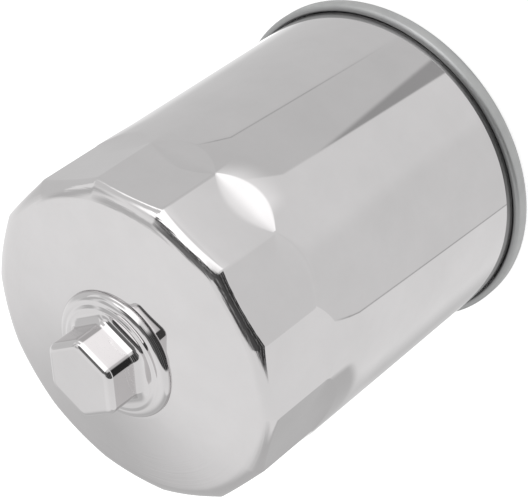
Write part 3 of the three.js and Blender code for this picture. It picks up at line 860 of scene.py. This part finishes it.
class Finish:
    """A procedural material. Its textures are in the object's own space, in metres."""

    def __init__(self, name, **surface):
        self.material = bpy.data.materials.new(name)
        self.material.use_nodes = True
        self.tree = self.material.node_tree
        self.shader = self.tree.nodes["Principled BSDF"]
        for key, value in surface.items():
            socket = key.replace("_", " ").title().replace("Ior", "IOR")
            self.shader.inputs[socket].default_value = value
        self.place = self.node("ShaderNodeTexCoord", {}).outputs["Object"]

    def node(self, kind, inputs, **settings):
        return add_node(self.tree, kind, inputs, **settings)

    def noise(self, size, detail=3.0, roughness=0.5, place=None):
        """Noise whose features are about the given size in millimetres."""
        return self.node("ShaderNodeTexNoise", {
            "Vector": place or self.place, "Scale": 1 / (size * MM), "Detail": detail,
            "Roughness": roughness,
        }).outputs["Fac"]

    def spread(self, value, low, high, start=0.3, end=0.7):
        """A value between two limits, as the source goes from start to end."""
        return self.node("ShaderNodeMapRange", {
            "Value": value, "From Min": start, "From Max": end, "To Min": low, "To Max": high,
        }).outputs["Result"]

    def tint(self, value, dark, light, start=0.3, end=0.7):
        """A colour between two others, as the source goes from start to end."""
        made = self.node("ShaderNodeValToRGB", {"Fac": value})
        for index, position, colour in ((0, start, dark), (1, end, light)):
            made.color_ramp.elements[index].position = position
            made.color_ramp.elements[index].color = (*colour, 1)
        return made.outputs["Color"]

    def round_z(self):
        """How far a point is from Z, its place along X, and its height."""
        apart = self.node("ShaderNodeSeparateXYZ", {"Vector": self.place}).outputs
        flat = self.node("ShaderNodeCombineXYZ", {"X": apart["X"], "Y": apart["Y"]})
        far = self.node("ShaderNodeVectorMath", {0: flat.outputs["Vector"]}, operation="LENGTH")
        return far.outputs["Value"], apart["X"], apart["Z"]

    def times(self, first, second):
        """The product of two values, either of which may be a number."""
        made = self.node("ShaderNodeMath", {0: first, 1: second}, operation="MULTIPLY")
        return made.outputs["Value"]

    def turned_place(self, stretch=0.02):
        """A place that hardly changes round Z, so that noise in it makes fine turned rings."""
        far, along, height = self.round_z()
        return self.node("ShaderNodeCombineXYZ", {
            "X": far, "Y": self.times(along, stretch), "Z": height,
        }).outputs["Vector"]

    def blend(self, share, first, second):
        """A colour that goes from the first to the second with the share."""
        factor, first_colour, second_colour, result = 0, 6, 7, 2
        return self.node("ShaderNodeMix", {
            factor: share, first_colour: first, second_colour: (*second, 1),
        }, data_type="RGBA").outputs[result]

    def bump(self, value, depth, before=None):
        """A relief of the given depth in millimetres, laid over another one if it is given."""
        inputs = {"Height": value, "Distance": depth * MM, "Strength": 1.0}
        if before:
            inputs["Normal"] = before
        return self.node("ShaderNodeBump", inputs).outputs["Normal"]

    def wire(self, **sources):
        """Feeds the shader, and gives the finished material."""
        for key, value in sources.items():
            self.tree.links.new(value, self.shader.inputs[key.replace("_", " ")])
        return self.material


def chrome(name, size, drawn=None):
    """Polished chrome: a mirror with a very slight haze and the faint waviness of drawn sheet. Fine
    lines run round the part where the sheet was drawn tightest, between two heights."""
    finish = Finish(name, metallic=1.0)
    haze = finish.noise(14, 4, 0.6)
    grain = finish.noise(0.9, 3, 0.6)
    relief = finish.bump(finish.noise(size, 2, 0.4), 0.0012)
    if drawn:
        low, high, depth = drawn
        height = finish.round_z()[2]
        here = finish.times(finish.spread(height, 0, 1, low * MM, (low + 1) * MM),
                            finish.spread(height, 1, 0, (high - 1) * MM, high * MM))
        lines = finish.noise(0.5, 3, 0.55, finish.turned_place(0.06))
        relief = finish.bump(finish.times(lines, here), depth, relief)
    return finish.wire(
        Base_Color=finish.tint(haze, (0.672, 0.659, 0.661), (0.708, 0.694, 0.697)),
        Roughness=finish.spread(haze, 0.015, 0.04),
        Normal=finish.bump(grain, 0.00002, relief),
    )


def satin_steel():
    """Plated seam sheet: satin, with fine rings left by the seaming rolls. Its colour carries
    painted shade: darker towards the inner edge of the roll's top, and darker still where the roll
    turns down into the groove beside the can."""
    # Painted shade: the groove beside the can is darkened inside these radii and above these
    # heights.
    groove_shade_radii, groove_shade_heights = (38.3 * MM, 38.8 * MM), (4.3 * MM, 4.45 * MM)
    # Painted shade: the roll's top is darkened towards its inner edge across these radii.
    roll_shade_radii = (38.9 * MM, 39.75 * MM)
    finish = Finish("satin_seam_steel", metallic=1.0)
    rings = finish.noise(0.25, 3, 0.6, finish.turned_place())
    cloud = finish.noise(6, 4, 0.6)
    far, _, height = finish.round_z()
    # Painted shade: a mask that is 1 in the groove, where the roll turns down beside the can.
    groove = finish.times(finish.spread(far, 1, 0, *groove_shade_radii),
                          finish.spread(height, 0, 1, *groove_shade_heights))
    steel = finish.tint(cloud, (0.54, 0.545, 0.545), (0.61, 0.615, 0.61))
    # Painted shade: the colour goes darker from the outer edge of the roll's top to its inner edge.
    steel = finish.blend(finish.spread(far, 1, 0, *roll_shade_radii), steel, (0.42, 0.425, 0.425))
    return finish.wire(
        # The groove's painted shade darkens the colour to a near-black grey.
        Base_Color=finish.blend(groove, steel, (0.26, 0.265, 0.265)),
        Roughness=finish.spread(rings, 0.46, 0.6),
        Normal=finish.bump(rings, 0.006),
    )


def zinc_steel():
    """Zinc plated steel with a mottled grain and faint turning marks."""
    finish = Finish("zinc_plated_steel", metallic=1.0)
    grain = finish.noise(1.6, 5, 0.65)
    rings = finish.noise(0.3, 2, 0.5, finish.turned_place())
    return finish.wire(
        Base_Color=finish.tint(grain, (0.5, 0.52, 0.52), (0.68, 0.68, 0.64)),
        Roughness=finish.spread(grain, 0.26, 0.42),
        Normal=finish.bump(rings, 0.008),
    )


def tin_plate():
    """Bright tin plate with soft flow marks and drawing lines."""
    finish = Finish("tin_plate", metallic=1.0)
    flow = finish.noise(9, 5, 0.6)
    lines = finish.noise(0.35, 2, 0.5, finish.turned_place(0.05))
    return finish.wire(
        Base_Color=finish.tint(flow, (0.6, 0.6, 0.58), (0.74, 0.735, 0.7)),
        Roughness=finish.spread(flow, 0.2, 0.34),
        Normal=finish.bump(lines, 0.005),
    )


def spring_wire():
    """Oiled spring wire: dark steel with a drawn grain."""
    finish = Finish("spring_wire", metallic=1.0, coat_weight=0.15, coat_roughness=0.2)
    grain = finish.noise(0.5, 4, 0.6)
    return finish.wire(
        Base_Color=finish.tint(grain, (0.2, 0.2, 0.21), (0.36, 0.355, 0.35)),
        Roughness=finish.spread(grain, 0.25, 0.4),
        Normal=finish.bump(grain, 0.004),
    )


def rubber(name, dark, light, shine, grain_size=0.35):
    """Moulded rubber with a fine grain, cloudy bloom and a little oil."""
    finish = Finish(name, specular_ior_level=0.45)
    bloom = finish.noise(5, 4, 0.6)
    grain = finish.noise(grain_size, 3, 0.6)
    return finish.wire(
        Base_Color=finish.tint(bloom, dark, light),
        Roughness=finish.spread(bloom, shine, shine + 0.18),
        Normal=finish.bump(grain, 0.02),
    )


def paper():
    """Resin-treated filter paper: tan fibres over a slightly uneven ground."""
    finish = Finish("filter_paper", sheen_weight=0.15, specular_ior_level=0.2)
    fibre = finish.noise(0.5, 6, 0.75)
    cloud = finish.noise(4, 3, 0.5)
    return finish.wire(
        Base_Color=finish.tint(fibre, (0.52, 0.37, 0.17), (0.72, 0.56, 0.32), 0.25, 0.75),
        Roughness=finish.spread(cloud, 0.82, 0.95),
        Normal=finish.bump(fibre, 0.05),
    )


def plastisol():
    """Cured plastisol: slate grey, semi-gloss, with pinhole bubbles."""
    finish = Finish("cured_plastisol", specular_ior_level=0.5)
    cloud = finish.noise(3, 4, 0.6)
    cells = finish.node("ShaderNodeTexVoronoi", {"Vector": finish.place, "Scale": 1 / (2.2 * MM)})
    pits = finish.spread(cells.outputs["Distance"], 0, 1, 0.05, 0.22)
    return finish.wire(
        Base_Color=finish.tint(cloud, (0.055, 0.062, 0.075), (0.1, 0.11, 0.125)),
        Roughness=finish.spread(cloud, 0.34, 0.5),
        Normal=finish.bump(pits, 0.06),
    )


# --- the stage --------------------------------------------
def build_floor():
    """A plain white floor. The chrome doesn't mirror it: the studio's own light does that."""
    side = 4.0
    mesh = bpy.data.meshes.new("studio_floor")
    corners = [(-side, -side, 0), (side, -side, 0), (side, side, 0), (-side, side, 0)]
    mesh.from_pydata(corners, [], [(0, 1, 2, 3)])
    floor = add_object("studio_floor", mesh)
    finish = Finish("white_floor", base_color=(0.9, 0.9, 0.9, 1), roughness=0.9,
                    emission_color=(1, 1, 1, 1), emission_strength=0.7)
    mesh.materials.append(finish.material)
    floor.visible_glossy = False


# Each panel: its left and right edges (azimuth in degrees, 0 towards the camera, 90 to +X), how far
# each of them leans per degree of height, its lower and upper edges (degrees above the horizon),
# the softness of the sides, the softness of the lower and upper edges, and its brightness.
PANELS = {
    "tent_behind": ((70, 250), (0, 0), (-30, 95), (60, 60), (20, 10), 0.97),
    "grey_card": ((-186, -110), (0, 0), (-38.3, 27), (24, 6), (1.5, 28), 0.60),
    "front_card": ((-77, 20), (1.5, 0), (-90, -14), (1, 10), (10, 16), 0.785),
    "front_glow": ((-20, 29.5), (0, 1.4), (-90, -14), (14, 2), (10, 16), 0.845),
    "front_edge": ((-77.6, -76.6), (1.5, 1.5), (-46, -36), (0.5, 0.5), (2, 4), 0.5),
    "side_card": ((29.5, 145), (1.4, 0), (-90, 40), (2, 16), (10, 30), 0.71),
    "side_shade": ((29.5, 72), (1.4, 1.6), (-90, -30), (2, 8), (10, 10), 0.675),
    "side_edge": ((71.2, 72.2), (1.6, 1.6), (-44, -36), (0.7, 0.7), (3, 4), 0.5),
    "card_gap": ((29.5, 23), (1.4, -2), (-90, -38), (1.5, 4), (10, 5), 0.40),
    "window": ((158, 192), (0, 0), (-60, -28), (12, 16), (20, 8), 1.55),
    "window_frame": ((-170, -138), (0, 0), (-60, -38), (12, 26), (20, 3), 0.64),
    "dark_wall": ((-68, -4), (0, 0), (-12, 56), (6, 14), (12, 12), 0.04),
    "wall_slat": ((-68, -4), (0, 0), (5, 9), (6, 14), (3, 3), 0.28),
    "wall_rail": ((-68, 8), (0, 0), (26, 31), (6, 14), (4, 4), 0.2),
    "ceiling": ((-66, 72), (0, 0), (38, 73), (20, 26), (10, 8), 0.085),
    "ceiling_high": ((-6, 112), (0, 0), (66, 82), (20, 44), (6, 6), 0.2),
    "ceiling_side": ((110, 152), (0, 0), (48, 68), (8, 8), (8, 6), 0.6),
    "ceiling_slat": ((-66, 72), (0, 0), (57, 61), (20, 26), (3, 3), 0.3),
    "ceiling_rail": ((92, 150), (0, 0), (31, 43), (14, 14), (8, 8), 0.6),
    "softbox_edge": ((16, 50), (0, 0), (-36, 48), (10, 20), (7, 6), 1.1),
    "softbox_low": ((18, 40), (0, 0), (-28, 48), (12, 14), (12, 6), 1.5),
    "softbox": ((22, 74), (0, 0), (-12, 48), (12, 12), (14, 6), 1.7),
    "softbox_slat": ((46, 96), (0, 0), (2, 30), (12, 12), (9, 9), 0.76),
}
TENT_BRIGHTNESS = 0.90
LEAN_FROM = -40


def light_studio():
    """A white tent with soft panels round it, each a soft-edged rectangle of azimuth and height.
    The camera itself sees plain white behind the part."""
    world = bpy.data.worlds.new("studio")
    world.use_nodes = True
    tree = world.node_tree

    def maths(operation, *values):
        inputs = dict(enumerate(values))
        return add_node(tree, "ShaderNodeMath", inputs, operation=operation).outputs[0]

    def step(value, edge, softness):
        inputs = dict(enumerate((value, edge - softness / 2, edge + softness / 2, 0.0, 1.0)))
        return add_node(tree, "ShaderNodeMapRange", inputs,
                        interpolation_type="SMOOTHSTEP").outputs[0]

    def mix(share, first, second):
        return add_node(tree, "ShaderNodeMix", {0: share, 2: first, 3: second},
                        data_type="FLOAT").outputs[0]

    towards = add_node(tree, "ShaderNodeTexCoord", {}).outputs["Generated"]
    place = add_node(tree, "ShaderNodeSeparateXYZ", {0: towards})
    x, y, z = place.outputs
    azimuth = maths("DEGREES", maths("ARCTAN2", x, maths("MULTIPLY", y, -1.0)))
    height = maths("DEGREES", maths("ARCSINE", z))
    above = maths("SUBTRACT", height, LEAN_FROM)
    light = TENT_BRIGHTNESS
    for sides, leans, levels, side_softness, level_softness, brightness in PANELS.values():
        turned = maths("WRAP", maths("SUBTRACT", azimuth, sum(sides) / 2), 180.0, -180.0)
        half = (sides[1] - sides[0]) / 2
        from_left = maths("SUBTRACT", turned, maths("MULTIPLY", above, leans[0]))
        from_right = maths("SUBTRACT", turned, maths("MULTIPLY", above, leans[1]))
        inside = maths("MULTIPLY", step(from_left, -half, side_softness[0]),
                       maths("SUBTRACT", 1.0, step(from_right, half, side_softness[1])))
        between = maths("MULTIPLY", step(height, levels[0], level_softness[0]),
                        maths("SUBTRACT", 1.0, step(height, levels[1], level_softness[1])))
        light = mix(maths("MULTIPLY", inside, between), light, brightness)
    camera_ray = add_node(tree, "ShaderNodeLightPath", {}).outputs["Is Camera Ray"]
    background = tree.nodes["Background"].inputs
    tree.links.new(mix(camera_ray, light, 1.0), background["Strength"])
    background["Color"].default_value = (1, 1, 1, 1)
    bpy.context.scene.world = world
    bpy.context.scene.view_settings.view_transform = "Standard"


def aim_camera():
    """A long lens, turned on its own axis so that the upright filter lies across the picture."""
    azimuth, elevation = math.radians(-1.03), math.radians(38.87)
    roll = math.radians(-126.34)
    target = Vector((-0.8, 0, 46.3)) * MM
    distance = 443.9 * MM
    data = bpy.data.cameras.new("photo_camera")
    data.lens = 138.7
    data.clip_start, data.clip_end = 0.01, 50
    camera = add_object("photo_camera", data)
    back = Vector((math.sin(azimuth) * math.cos(elevation),
                   -math.cos(azimuth) * math.cos(elevation), math.sin(elevation)))
    level = back.to_track_quat("Z", "Y")
    camera.rotation_mode = "QUATERNION"
    camera.rotation_quaternion = level @ Matrix.Rotation(roll, 3, "Z").to_quaternion()
    camera.location = target + back * distance
    bpy.context.scene.camera = camera


# --- the whole --------------------------------------------
build_can(chrome("can_chrome", 30, (87.6, 92.4, 0.03)))
build_nut(chrome("nut_chrome", 8))
build_rim(satin_steel())
zinc = zinc_steel()
build_plate(zinc)
build_poppet(zinc)
nitrile = rubber("oiled_nitrile", (0.012, 0.012, 0.013), (0.03, 0.03, 0.031), 0.38)
build_gasket(nitrile)
build_valve_seal(nitrile)
build_compound(rubber("seam_compound_black", (0.015, 0.015, 0.015), (0.035, 0.034, 0.033), 0.3,
                      grain_size=1.2))
silicone = rubber("red_silicone", (0.33, 0.055, 0.025), (0.45, 0.09, 0.04), 0.4)
build_neck_seal(silicone)
build_flap(silicone)
tin = tin_plate()
build_end_cap("lower_cap", "lower_end_cap", 14.5, 1, tin)
build_end_cap("upper_cap", "upper_end_cap", 10.1, -1, tin)
build_tube(tin)
build_paper_clip(tin)
build_valve_cage(tin)
glue = plastisol()
build_adhesive("lower_plastisol", "lower_adhesive", 1, glue)
build_adhesive("upper_plastisol", "upper_adhesive", -1, glue)
build_paper(paper())
steel_wire = spring_wire()
build_bypass_spring(steel_wire)
build_element_spring(steel_wire)
build_floor()
light_studio()
aim_camera()
